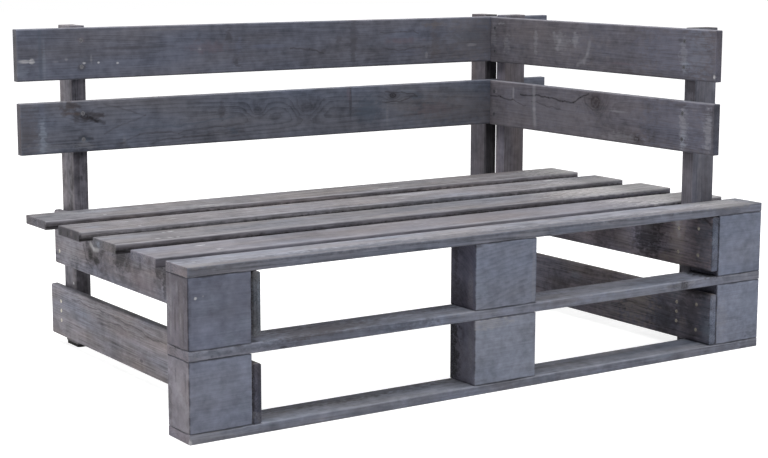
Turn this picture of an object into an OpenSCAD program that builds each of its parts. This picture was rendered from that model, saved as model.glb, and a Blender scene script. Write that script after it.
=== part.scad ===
// Pallet-style corner bench: slatted seat on a front frame of boards and blocks,
// four side aprons, four posts, a back of two boards and a side of two boards.
// Lengths are millimetres. X runs along the seat, Y to the back, Z up.

/* [Seat] */
// Length of the seat slats and of the front boards
seat_w = 1100; // [900:5:1500]
// Thickness of the seat slats and of the front boards
slat_t = 15; // [12:0.5:22]
// Width of each seat slat behind the front one
slat_w = 80.5; // [65:0.5:110]
// Gap between two of these slats
slat_gap = 49; // [20:1:70]
// Gap between the front slat and the next one, where the front side post stands
front_gap = 31; // [31:1:60]
// Gap between the front slat and the front side post
post_gap = 2; // [0:0.5:3]

/* [Front frame] */
// Depth of the front slat, the front boards and the blocks
front_d = 65; // [45:1:90]
// Height of each block
block_h = 103; // [80:1:140]
// Width of the blocks at both ends
end_block_w = 100; // [75:1:140]
// Width of the blocks in the middle
mid_block_w = 119; // [75:1:160]

/* [Aprons] */
// Thickness of the side aprons
apron_t = 15; // [12:0.5:22]
// Drop of the upper aprons' top edges below the tops of the blocks
apron_drop = 1; // [0:0.5:3]
// Space under the upper aprons, down to the top of the front middle board
upper_apron_gap = 9; // [5:0.5:20]
// Space over the lower aprons, up to the front middle board
lower_apron_gap = 15; // [8:0.5:25]
// Length of the left upper apron behind its post
upper_tail = 3; // [0:1:30]
// Length of the left lower apron behind its post
lower_tail = 24; // [4:1:40]

/* [Posts] */
// Wide side of a post
post_w = 49; // [40:1:70]
// Narrow side of a post
post_t = 27; // [23:1:28]
// Height of the post tops above the seat
post_rise = 299; // [290:1:420]
// Drop of the front side post's top below the others
front_post_drop = 3; // [0:0.5:4]
// Distance from the last seat slat to the back boards
back_gap = 53; // [45:1:90]
// Step of the corner post to the right of the side boards' inner faces
corner_step = 1; // [0:0.5:6]
// Thickness of the plastic pad under each post
pad_t = 5; // [3:0.5:10]
// Margin between the edge of a pad and the edge of its post
pad_margin = 1; // [0.5:0.5:4]

/* [Back and side] */
// Height of each back and side board
rail_h = 86; // [60:1:100]
// Thickness of the back and side boards
rail_t = 15; // [12:0.5:22]
// Gap between the upper and the lower boards
rail_gap = 36; // [20:1:50]
// Drop of the upper back board's top edge below the post tops
rail_drop = 3; // [1:0.5:15]
// Drop of the side boards below the back boards
side_drop = 1; // [0:0.5:4]
// Step of the side boards' front ends behind the seat's front face
side_inset = 6; // [0:1:30]
// Step of the upper back board's left end in from the seat's left end
back_inset = 14; // [0:1:40]
// Length of the upper back board past the seat's right end
back_overhang = 25; // [0:1:60]
// Step of the lower back board's ends in from those of the upper one
back_step = 3; // [0:1:15]

/* [Edges] */
// Radius of the eased edges along a board
ease_r = 2.5; // [1:0.25:4]
// Radius of the eased edges at a board's ends
end_r = 1.5; // [0.5:0.25:3]
// Radius of the eased edges of the blocks
block_r = 2; // [1:0.25:4]
// Radius of the rounder long edges of the aprons
apron_r = 5; // [2:0.25:5.5]
// Radius of the pads' corners
pad_r = 3; // [1:0.5:6]

/* [Screws and nails] */
// Diameter of a screw head
screw_head_d = 7.5; // [6.5:0.5:11]
// Diameter of a screw shank
screw_d = 4; // [3:0.5:5.5]
// Width of the cross recess in a screw's head
recess_w = 3; // [2:0.5:3.5]
// Width of the two slots that make up the recess
recess_slot = 0.9; // [0.5:0.1:1.2]
// Depth of the recess
recess_depth = 1.4; // [0.5:0.1:1.6]
// Depth that a screw reaches into a post
screw_bite = 23; // [15:1:30]
// Distance of the screws from a back or side board's long edges
screw_inset = 21; // [12:1:24]
// Diameter of a nail head
nail_head_d = 6; // [5:0.5:8]
// Thickness of a nail head
nail_head_t = 1.2; // [0.8:0.1:2]
// Diameter of a nail shank
nail_d = 3; // [2:0.5:3.5]
// Depth that a nail reaches into the second piece
nail_bite = 18; // [12:1:19]
// Distance of the front nails from a slat's front edge
slat_nail_front = 11; // [8:1:22]
// Distance of the rear nails from a slat's rear edge
slat_nail_rear = 22; // [8:1:30]
// Distance of the front slat's nails from the middle of a block
front_nail_spread = 22; // [12:1:30]
// Distance of the left post's nails from its back face
post_nail_inset = 16; // [8:1:24]
// Clearance round a screw or nail in its hole
hole_gap = 0.15; // [0.1:0.05:0.3]

/* [Hidden] */
$fn = 48;
eps = 0.01;

// Places of the blocks
mid_block_x = (seat_w - mid_block_w) / 2;
right_block_x = seat_w - end_block_w;

// Heights of the front frame, from the floor up
bottom_top = slat_t;
middle_z = bottom_top + block_h;
middle_top = middle_z + slat_t;
slat_z = middle_top + block_h;
seat_h = slat_z + slat_t;

// Aprons: the lower ones stand on the bottom board, the upper ones carry the slats
upper_apron_h = block_h - apron_drop - upper_apron_gap;
lower_apron_h = block_h - lower_apron_gap;
upper_apron_z = middle_top + upper_apron_gap;
rear_slat_z = slat_z - apron_drop;
left_apron_x = end_block_w;
right_apron_x = right_block_x - apron_t;

// Seat slats behind the front one
slat_pitch = slat_w + slat_gap;
first_slat_y = front_d + front_gap;
last_slat = 3;
function slat_y(i) = first_slat_y + i * slat_pitch;
seat_d = slat_y(last_slat) + slat_w;

// Back boards and side boards
rail_y = seat_d + back_gap;
rail_x = right_block_x - rail_t;
post_top = seat_h + post_rise;
rail_pitch = rail_h + rail_gap;
upper_back_z = post_top - rail_drop - rail_h;
lower_back_z = upper_back_z - rail_pitch;
upper_side_z = upper_back_z - side_drop;
lower_side_z = upper_side_z - rail_pitch;

// Posts: the back ones carry the back boards, the side ones the side boards
back_post_y = rail_y + rail_t;
left_inner_x = left_apron_x + apron_t;
left_post_x = left_inner_x;
corner_post_x = rail_x + corner_step;
side_post_x = right_block_x;
rear_side_post_y = rail_y - post_t;
front_side_post_y = front_d + post_gap;
back_section = [post_t, post_w];
side_section = [post_w, post_t];

// Left aprons run past the left post, right aprons end at the corner post
upper_left_apron_len = back_post_y + post_w + upper_tail;
lower_left_apron_len = back_post_y + post_w + lower_tail;
right_apron_len = back_post_y;
overall_w = seat_w + back_overhang;
overall_d = max(upper_left_apron_len, lower_left_apron_len);

// Fasteners
head_cone_h = (screw_head_d - screw_d) / 2;
screw_len = rail_t + screw_bite;
screw_rows = [screw_inset, rail_h - screw_inset];
slat_nail_len = slat_t + nail_bite;
apron_nail_len = apron_t + nail_bite;
block_centres = [end_block_w / 2, seat_w / 2, seat_w - end_block_w / 2];
apron_centres = [left_apron_x + apron_t / 2, right_apron_x + apron_t / 2];
// Each list holds heights above the bottom of the aprons it belongs to
upper_block_rows = [0.26 * upper_apron_h, 0.75 * upper_apron_h];
lower_block_rows = [0.25 * lower_apron_h, 0.75 * lower_apron_h];
upper_post_rows = [0.25 * upper_apron_h, 0.69 * upper_apron_h];
lower_post_rows = [0.33 * lower_apron_h, 0.52 * lower_apron_h, 0.71 * lower_apron_h];

wood_front = "#666b76";
wood_top = "#918f92";
wood_side = "#76737a";
wood_back = "#5b5e68";
steel = "#a9a59f";
plastic = "#17171a";

// Moves the bench from its front left corner to the middle of its footprint
module placed() {
    translate([-overall_w / 2, -overall_d / 2, 0]) children();
}

// Rectangle with round corners
module soft_rect(w, h, r) {
    translate([r, 0]) square([w - 2 * r, h]);
    translate([0, r]) square([w, h - 2 * r]);
    for (x = [r, w - r], y = [r, h - r])
        translate([x, y]) circle(r = r);
}

// Sawn piece of wood: edges along its grain eased by r, edges at its ends by e
module timber(size, grain, r = ease_r, e = end_r) {
    intersection() {
        rotate([90, 0, 90]) linear_extrude(size.x)
            soft_rect(size.y, size.z, grain == "x" ? r : e);
        translate([0, size.y, 0]) rotate([90, 0, 0]) linear_extrude(size.y)
            soft_rect(size.x, size.z, grain == "y" ? r : e);
        linear_extrude(size.z)
            soft_rect(size.x, size.y, grain == "z" ? r : e);
    }
}

// Cross recess for a driver, open at z = 0
module recess() {
    for (slot = [[recess_w, recess_slot], [recess_slot, recess_w]])
        translate([-slot.x / 2, -slot.y / 2, -recess_depth])
            cube([slot.x, slot.y, recess_depth + 1]);
}

// Countersunk screw along -Z, the flat of its head at z = 0
module screw() {
    difference() {
        union() {
            translate([0, 0, -head_cone_h])
                cylinder(d1 = screw_d, d2 = screw_head_d, h = head_cone_h);
            translate([0, 0, -screw_len])
                cylinder(d = screw_d, h = screw_len - head_cone_h + eps);
        }
        recess();
    }
}

// Hole and countersink that a screw sits in
module screw_hole() {
    d = screw_d + 2 * hole_gap;
    head_d = screw_head_d + 2 * hole_gap;
    translate([0, 0, -head_cone_h]) cylinder(d1 = d, d2 = head_d, h = head_cone_h);
    cylinder(d = head_d, h = 1);
    translate([0, 0, -screw_len - hole_gap]) cylinder(d = d, h = screw_len);
}

// Nail along -Z, the top of its head at z = 0
module nail(length) {
    translate([0, 0, -nail_head_t]) cylinder(d = nail_head_d, h = nail_head_t);
    translate([0, 0, -length]) cylinder(d = nail_d, h = length - nail_head_t + eps);
}

// Hole and head recess that a nail sits in
module nail_hole(length) {
    d = nail_d + 2 * hole_gap;
    head_d = nail_head_d + 2 * hole_gap;
    translate([0, 0, -nail_head_t - hole_gap]) cylinder(d = head_d, h = nail_head_t + 1);
    translate([0, 0, -length - hole_gap]) cylinder(d = d, h = length);
}

// These turn a fastener that points down to the right, the left or the back
module pointing_right() { rotate([0, -90, 0]) children(); }
module pointing_left() { rotate([0, 90, 0]) children(); }
module pointing_back() { rotate([90, 0, 0]) children(); }

// Nails of slat i behind the front one, over both upper aprons
module at_slat_nails(i) {
    for (x = apron_centres, dy = [slat_nail_front, slat_w - slat_nail_rear])
        translate([x, slat_y(i) + dy, seat_h - apron_drop]) children();
}

// Nails of the front slat, over the three upper blocks
module at_front_nails() {
    for (x = block_centres, dx = [-front_nail_spread, front_nail_spread])
        translate([x + dx, front_d / 2, seat_h]) children();
}

// Nails from a left apron into its block and from its outer face into the post
module at_left_apron_nails(z, block_rows, post_rows) {
    for (dz = block_rows)
        translate([left_inner_x, front_d / 2, z + dz]) pointing_left() children();
    for (dz = post_rows)
        translate([left_apron_x, back_post_y + post_w - post_nail_inset, z + dz])
            pointing_right() children();
}

// Nails from a right apron's inner face into its block and both side posts
module at_right_apron_nails(z, block_rows, post_rows) {
    for (dz = block_rows)
        translate([right_apron_x, front_d / 2, z + dz]) pointing_right() children();
    for (y = [front_side_post_y, rear_side_post_y], dz = post_rows)
        translate([right_apron_x, y + post_t / 2, z + dz]) pointing_right() children();
}

// Nails of each apron by name
module at_left_upper_nails() {
    at_left_apron_nails(upper_apron_z, upper_block_rows, upper_post_rows) children();
}

module at_left_lower_nails() {
    at_left_apron_nails(bottom_top, lower_block_rows, lower_post_rows) children();
}

module at_right_upper_nails() {
    at_right_apron_nails(upper_apron_z, upper_block_rows, upper_post_rows) children();
}

module at_right_lower_nails() {
    at_right_apron_nails(bottom_top, lower_block_rows, lower_post_rows) children();
}

// Screws of the back board at height z, into the two back posts
module at_back_screws(z) {
    for (x = [left_post_x, corner_post_x], dz = screw_rows)
        translate([x + post_t / 2, rail_y, z + dz]) pointing_back() children();
}

// Screws of the side board at height z, into the two side posts
module at_side_screws(z) {
    for (y = [front_side_post_y, rear_side_post_y], dz = screw_rows)
        translate([rail_x, y + post_t / 2, z + dz]) pointing_right() children();
}

// Seat slat i behind the front one
module seat_slat(i) {
    color(wood_top) placed() difference() {
        translate([0, slat_y(i), rear_slat_z]) timber([seat_w, slat_w, slat_t], "x");
        at_slat_nails(i) nail_hole(slat_nail_len);
    }
}

module seat_slat_1() {
    color(wood_top) placed() difference() {
        translate([0, 0, slat_z]) timber([seat_w, front_d, slat_t], "x");
        at_front_nails() nail_hole(slat_nail_len);
    }
}

module seat_slat_2() { seat_slat(0); }
module seat_slat_3() { seat_slat(1); }
module seat_slat_4() { seat_slat(2); }
module seat_slat_5() { seat_slat(last_slat); }

// Board of the front frame at height z
module front_board(z) {
    color(wood_front) placed()
        translate([0, 0, z]) timber([seat_w, front_d, slat_t], "x");
}

module front_middle_board() { front_board(middle_z); }
module front_bottom_board() { front_board(0); }

// Block of width w that starts at x and stands at height z
module block(x, w, z) {
    translate([x, 0, z]) timber([w, front_d, block_h], "x", block_r, block_r);
}

module upper_block(x, w) {
    color(wood_front) placed() difference() {
        block(x, w, middle_top);
        at_front_nails() nail_hole(slat_nail_len);
        at_left_upper_nails() nail_hole(apron_nail_len);
        at_right_upper_nails() nail_hole(apron_nail_len);
    }
}

module lower_block(x, w) {
    color(wood_front) placed() difference() {
        block(x, w, bottom_top);
        at_left_lower_nails() nail_hole(apron_nail_len);
        at_right_lower_nails() nail_hole(apron_nail_len);
    }
}

module block_left_upper() { upper_block(0, end_block_w); }
module block_left_lower() { lower_block(0, end_block_w); }
module block_centre_upper() { upper_block(mid_block_x, mid_block_w); }
module block_centre_lower() { lower_block(mid_block_x, mid_block_w); }
module block_right_upper() { upper_block(right_block_x, end_block_w); }
module block_right_lower() { lower_block(right_block_x, end_block_w); }

// Board on edge from the front face to the back
module apron(x, z, length, height) {
    translate([x, 0, z]) timber([apron_t, length, height], "y", apron_r);
}

module all_slat_nails() {
    for (i = [0 : last_slat]) at_slat_nails(i) children();
}

module apron_left_upper() {
    color(wood_side) placed() difference() {
        apron(left_apron_x, upper_apron_z, upper_left_apron_len, upper_apron_h);
        all_slat_nails() nail_hole(slat_nail_len);
        at_left_upper_nails() nail_hole(apron_nail_len);
    }
}

module apron_left_lower() {
    color(wood_side) placed() difference() {
        apron(left_apron_x, bottom_top, lower_left_apron_len, lower_apron_h);
        at_left_lower_nails() nail_hole(apron_nail_len);
    }
}

module apron_right_upper() {
    color(wood_side) placed() difference() {
        apron(right_apron_x, upper_apron_z, right_apron_len, upper_apron_h);
        all_slat_nails() nail_hole(slat_nail_len);
        at_right_upper_nails() nail_hole(apron_nail_len);
    }
}

module apron_right_lower() {
    color(wood_side) placed() difference() {
        apron(right_apron_x, bottom_top, right_apron_len, lower_apron_h);
        at_right_lower_nails() nail_hole(apron_nail_len);
    }
}

// Post of a given section on its pad, up to the height top
module post(x, y, section, top = post_top) {
    translate([x, y, pad_t]) timber([section.x, section.y, top - pad_t], "z");
}

// Both back boards' screw holes
module back_screw_holes() {
    for (z = [lower_back_z, upper_back_z]) at_back_screws(z) screw_hole();
}

// Both side boards' screw holes and the right aprons' nail holes
module side_post_holes() {
    for (z = [lower_side_z, upper_side_z]) at_side_screws(z) screw_hole();
    at_right_upper_nails() nail_hole(apron_nail_len);
    at_right_lower_nails() nail_hole(apron_nail_len);
}

module post_back_left() {
    color(wood_side) placed() difference() {
        post(left_post_x, back_post_y, back_section);
        back_screw_holes();
        at_left_upper_nails() nail_hole(apron_nail_len);
        at_left_lower_nails() nail_hole(apron_nail_len);
    }
}

module post_back_corner() {
    color(wood_side) placed() difference() {
        post(corner_post_x, back_post_y, back_section);
        back_screw_holes();
    }
}

module post_side_rear() {
    color(wood_side) placed() difference() {
        post(side_post_x, rear_side_post_y, side_section);
        side_post_holes();
    }
}

module post_side_front() {
    color(wood_side) placed() difference() {
        post(side_post_x, front_side_post_y, side_section, post_top - front_post_drop);
        side_post_holes();
    }
}

// Back board at height z, screwed to the front of the back posts; its ends are
// in by step from those of the upper one
module back_board(z, step) {
    start = back_inset + step;
    length = seat_w + back_overhang - step - start;
    color(wood_back) placed() difference() {
        translate([start, rail_y, z]) timber([length, rail_t, rail_h], "x");
        at_back_screws(z) screw_hole();
    }
}

module back_board_upper() { back_board(upper_back_z, 0); }
module back_board_lower() { back_board(lower_back_z, back_step); }

// Side board at height z, up to the back boards
module side_board(z) {
    color(wood_back) placed() difference() {
        translate([rail_x, side_inset, z])
            timber([rail_t, rail_y - side_inset, rail_h], "y");
        at_side_screws(z) screw_hole();
    }
}

module side_board_upper() { side_board(upper_side_z); }
module side_board_lower() { side_board(lower_side_z); }

// Plastic pad under a post
module foot_pad(x, y, section) {
    color(plastic) placed()
        translate([x + pad_margin, y + pad_margin, 0]) linear_extrude(pad_t)
            soft_rect(section.x - 2 * pad_margin, section.y - 2 * pad_margin, pad_r);
}

module foot_pad_back_left() { foot_pad(left_post_x, back_post_y, back_section); }
module foot_pad_back_corner() { foot_pad(corner_post_x, back_post_y, back_section); }
module foot_pad_side_rear() { foot_pad(side_post_x, rear_side_post_y, side_section); }
module foot_pad_side_front() { foot_pad(side_post_x, front_side_post_y, side_section); }

module slat_nails() {
    color(steel) placed() {
        at_front_nails() nail(slat_nail_len);
        all_slat_nails() nail(slat_nail_len);
    }
}

module apron_nails() {
    color(steel) placed() {
        at_left_upper_nails() nail(apron_nail_len);
        at_left_lower_nails() nail(apron_nail_len);
        at_right_upper_nails() nail(apron_nail_len);
        at_right_lower_nails() nail(apron_nail_len);
    }
}

module back_board_screws() {
    color(steel) placed()
        for (z = [lower_back_z, upper_back_z]) at_back_screws(z) screw();
}

module side_board_screws() {
    color(steel) placed()
        for (z = [lower_side_z, upper_side_z]) at_side_screws(z) screw();
}

seat_slat_1();
seat_slat_2();
seat_slat_3();
seat_slat_4();
seat_slat_5();
front_middle_board();
front_bottom_board();
block_left_upper();
block_left_lower();
block_centre_upper();
block_centre_lower();
block_right_upper();
block_right_lower();
apron_left_upper();
apron_left_lower();
apron_right_upper();
apron_right_lower();
post_back_left();
post_back_corner();
post_side_rear();
post_side_front();
back_board_upper();
back_board_lower();
side_board_upper();
side_board_lower();
foot_pad_back_left();
foot_pad_back_corner();
foot_pad_side_rear();
foot_pad_side_front();
slat_nails();
apron_nails();
back_board_screws();
side_board_screws();
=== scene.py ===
# Corner bench of stained boards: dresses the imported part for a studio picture.
import math
import bpy
from mathutils import Euler, Matrix, Vector


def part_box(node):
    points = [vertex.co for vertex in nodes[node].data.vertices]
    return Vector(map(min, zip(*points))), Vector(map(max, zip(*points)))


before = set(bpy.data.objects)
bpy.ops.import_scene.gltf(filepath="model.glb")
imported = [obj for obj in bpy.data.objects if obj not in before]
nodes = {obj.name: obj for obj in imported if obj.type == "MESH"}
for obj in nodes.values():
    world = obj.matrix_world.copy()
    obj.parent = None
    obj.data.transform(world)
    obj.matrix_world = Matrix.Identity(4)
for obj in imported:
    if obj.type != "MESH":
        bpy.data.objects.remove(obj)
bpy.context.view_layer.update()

scene = bpy.context.scene
scene.view_settings.view_transform = "Standard"

# Camera, solved from the edges of the bench in the photograph: metres and degrees
PHOTO_WIDTH = 768
FOCAL_PX = 1735.9
SENSOR_MM = 36.0
CAMERA_AT = (-1.6325, -2.4286, 0.6879)
YAW, TILT, ROLL = 33.857, 9.372, 0.122
camera_data = bpy.data.cameras.new("camera")
camera_data.sensor_width = SENSOR_MM
camera_data.lens = FOCAL_PX / PHOTO_WIDTH * SENSOR_MM
camera_data.clip_end = 60.0
camera = bpy.data.objects.new("camera", camera_data)
scene.collection.objects.link(camera)
turn = Euler((math.radians(90 - TILT), 0, math.radians(-YAW))).to_matrix()
turn = turn @ Matrix.Rotation(math.radians(ROLL), 3, "Z")
camera.matrix_world = Matrix.Translation(CAMERA_AT) @ turn.to_4x4()
scene.camera = camera


class Tree:
    """Short calls that add nodes to a node tree and link them."""

    def __init__(self, tree):
        self.tree = tree

    def feed(self, socket, value):
        """Links a socket to another one, or sets its value."""
        if isinstance(value, bpy.types.NodeSocket):
            self.tree.links.new(value, socket)
        elif value is not None:
            socket.default_value = value

    def node(self, kind, *values, **settings):
        """A new node; the values feed its inputs in order."""
        made = self.tree.nodes.new("ShaderNode" + kind)
        for key, value in settings.items():
            setattr(made, key, value)
        for socket, value in zip(made.inputs, values):
            self.feed(socket, value)
        return made

    def math(self, operation, *values, clamp=False):
        return self.node("Math", *values, operation=operation, use_clamp=clamp).outputs[0]

    def vector(self, operation, *values):
        made = self.node("VectorMath", operation=operation)
        for socket, value in zip(made.inputs, values):
            self.feed(socket, value)
        single = operation in ("LENGTH", "DOT_PRODUCT")
        return made.outputs["Value" if single else "Vector"]

    def scaled(self, vector, factor):
        made = self.node("VectorMath", operation="SCALE")
        self.feed(made.inputs[0], vector)
        self.feed(made.inputs["Scale"], factor)
        return made.outputs[0]

    def noise(self, vector, scale, detail=2.0, rough=0.5):
        """Noise between 0 and 1; scale is how many features a metre holds along u, v and w."""
        made = self.node("TexNoise")
        self.feed(made.inputs["Vector"], self.vector("MULTIPLY", vector, scale))
        made.inputs["Scale"].default_value = 1.0
        made.inputs["Detail"].default_value = detail
        made.inputs["Roughness"].default_value = rough
        return made.outputs["Fac"]

    def swings(self, vector, scale, detail=2.0, rough=0.5):
        """The same noise between -0.5 and 0.5."""
        return self.math("SUBTRACT", self.noise(vector, scale, detail, rough), 0.5)

    def moved(self, place, way, seed):
        """A place moved by a way times the seed, so that each piece has noise of its own."""
        return self.vector("ADD", place, self.scaled(way, seed))

    def step(self, value, low, high, out_low=0.0, out_high=1.0):
        """Smooth step of value from low to high."""
        made = self.node("MapRange", interpolation_type="SMOOTHSTEP")
        for socket, x in zip(made.inputs[:5], (value, low, high, out_low, out_high)):
            self.feed(socket, x)
        return made.outputs[0]

    def mix(self, factor, a, b):
        """A colour between a and b; 6, 7 and 2 are the sockets for colours."""
        made = self.node("Mix", data_type="RGBA")
        self.feed(made.inputs[0], factor)
        self.feed(made.inputs[6], a)
        self.feed(made.inputs[7], b)
        return made.outputs[2]


def group(name, inputs, outputs, build):
    """A node group; build gets its tree and input sockets and returns its output values."""
    tree = bpy.data.node_groups.new(name, "ShaderNodeTree")
    for label, kind in inputs:
        tree.interface.new_socket(label, in_out="INPUT", socket_type="NodeSocket" + kind)
    for label, kind in outputs:
        tree.interface.new_socket(label, in_out="OUTPUT", socket_type="NodeSocket" + kind)
    way_in = tree.nodes.new("NodeGroupInput")
    way_out = tree.nodes.new("NodeGroupOutput")
    t = Tree(tree)
    for socket, value in zip(way_out.inputs, build(t, *way_in.outputs[:len(inputs)])):
        t.feed(socket, value)
    return tree


def use(t, tree, *values):
    """Adds a node group to a tree and returns its output sockets."""
    made = t.node("Group", node_tree=tree)
    for socket, value in zip(made.inputs, values):
        t.feed(socket, value)
    return made.outputs


def build_grain(t, place, seed, pith, ring, swing, bump):
    """Year rings, fibres and blotches of softwood; bump is how far knots push the rings."""
    seeded = t.moved(place, (1.37, 2.11, 0.83), seed)
    # The rings lie round a pith that leans, and they swing a little along the piece
    low = t.swings(seeded, (1.6, 9, 9), 1.0)
    mid = t.swings(seeded, (7, 40, 40), 2.0)
    u, v, w = t.node("SeparateXYZ", place).outputs
    pith_v, pith_w, lean = t.node("SeparateXYZ", pith).outputs
    v = t.math("MULTIPLY_ADD", low, swing, t.math("SUBTRACT", v, pith_v))
    w = t.math("MULTIPLY_ADD", u, lean, t.math("SUBTRACT", w, pith_w))
    w = t.math("MULTIPLY_ADD", mid, t.math("MULTIPLY", swing, 0.25), w)
    r = t.math("SQRT", t.math("ADD", t.math("MULTIPLY", v, v), t.math("MULTIPLY", w, w)))
    turns = t.math("DIVIDE", t.math("ADD", r, bump), ring)
    # Each ring darkens slowly and ends sharply, in some years more than in others
    part = t.math("FRACT", turns)
    each = t.node("TexWhiteNoise", noise_dimensions="1D")
    t.feed(each.inputs["W"], t.math("ADD", t.math("FLOOR", turns), seed))
    late = t.math("MULTIPLY", t.step(part, 0.3, 0.88), t.step(part, 1.0, 0.9))
    late = t.math("MULTIPLY", late, t.math("MULTIPLY_ADD", each.outputs[0], 0.6, 0.4))
    fibre = t.noise(seeded, (16, 520, 520), 2.0, 0.6)
    blotch = t.noise(seeded, (5, 15, 15), 4.0, 0.6)
    return [t.node("CombineXYZ", late, fibre, blotch).outputs[0], fibre]


GRAIN = group(
    "grain",
    [("Place", "Vector"), ("Seed", "Float"), ("Pith", "Vector"), ("Ring", "Float"),
     ("Swing", "Float"), ("Bump", "Float")],
    [("Late fibre blotch", "Vector"), ("Fibre", "Float")],
    build_grain)


def build_knot(t, place, centre, size, shade, seed):
    """A knot: how far it pushes the rings aside, and its dark core with rings of its own."""
    # Uneven distance from the centre, in sizes of the knot, which is longer along the grain
    offset = t.vector("MULTIPLY", t.vector("SUBTRACT", place, centre), (0.72, 1, 0))
    seeded = t.moved(place, (3.1, 1.9, 0.7), seed)
    d = t.math("DIVIDE", t.vector("LENGTH", offset), size)
    d = t.math("MULTIPLY_ADD", t.swings(seeded, (90, 90, 90)), 0.8, d)
    push = t.math("EXPONENT", t.math("MULTIPLY", t.math("MULTIPLY", d, d), -0.28))
    push = t.math("MULTIPLY", push, t.math("MULTIPLY", size, 1.9))
    core = t.step(d, 1.15, 0.55)
    halo = t.step(d, 2.6, 0.9)
    ripple = t.math("MULTIPLY_ADD", t.math("SINE", t.math("MULTIPLY", d, 13.0)), 0.5, 0.5)
    dark = t.math("MULTIPLY_ADD", core, t.math("MULTIPLY_ADD", ripple, 0.3, 0.5),
                  t.math("MULTIPLY", halo, 0.35))
    return push, t.math("MULTIPLY", dark, shade)


KNOT = group(
    "knot",
    [("Place", "Vector"), ("Centre", "Vector"), ("Size", "Float"), ("Shade", "Float"),
     ("Seed", "Float")],
    [("Push", "Float"), ("Dark", "Float")],
    build_knot)


def build_mark(t, place, centre, radius, torn, fibre):
    """An oval patch; torn is the noise that makes its edge ragged, fibre breaks it up."""
    away = t.vector("DIVIDE", t.vector("SUBTRACT", place, centre), radius)
    mask = t.step(t.math("ADD", t.vector("LENGTH", away), torn), 1.0, 0.3)
    return [t.math("MULTIPLY", mask, t.step(fibre, 0.32, 0.6, 0.4, 1.0))]


MARK = group(
    "mark",
    [("Place", "Vector"), ("Centre", "Vector"), ("Radius", "Vector"), ("Torn", "Float"),
     ("Fibre", "Float")],
    [("Mask", "Float")],
    build_mark)


def build_line(t, place, start, end, width, torn):
    """A stretch of a crack or of a wavy line, from start to end."""
    away = t.vector("SUBTRACT", place, start)
    span = t.vector("SUBTRACT", end, start)
    along = t.math("DIVIDE", t.vector("DOT_PRODUCT", away, span),
                   t.vector("DOT_PRODUCT", span, span), clamp=True)
    off = t.vector("LENGTH", t.vector("SUBTRACT", away, t.scaled(span, along)))
    return [t.step(t.math("ADD", t.math("DIVIDE", off, width), torn), 1.1, 0.0)]


LINE = group(
    "line",
    [("Place", "Vector"), ("Start", "Vector"), ("End", "Vector"), ("Width", "Float"),
     ("Torn", "Float")],
    [("Mask", "Float")],
    build_line)


def build_edge(t, place, half, width, seed):
    """How worn an edge is: from the distance to the nearest edge of the box, with gaps."""
    depth = t.vector("SUBTRACT", half, t.vector("ABSOLUTE", place))
    x, y, z = t.node("SeparateXYZ", depth).outputs
    # Of the three depths under the faces, the middle one is the distance to the nearest edge
    least = t.math("MINIMUM", x, t.math("MINIMUM", y, z))
    most = t.math("MAXIMUM", x, t.math("MAXIMUM", y, z))
    total = t.math("ADD", x, t.math("ADD", y, z))
    middle = t.math("SUBTRACT", t.math("SUBTRACT", total, least), most)
    seeded = t.moved(place, (0.9, 1.3, 2.7), seed)
    gaps = t.noise(seeded, (22, 60, 60), 3.0, 0.6)
    reach = t.math("MULTIPLY", width, t.step(gaps, 0.3, 0.75, 0.25, 1.5))
    return [t.step(middle, reach, 0.0)]


EDGE = group(
    "edge",
    [("Place", "Vector"), ("Half", "Vector"), ("Width", "Float"), ("Seed", "Float")],
    [("Worn", "Float")],
    build_edge)


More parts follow.
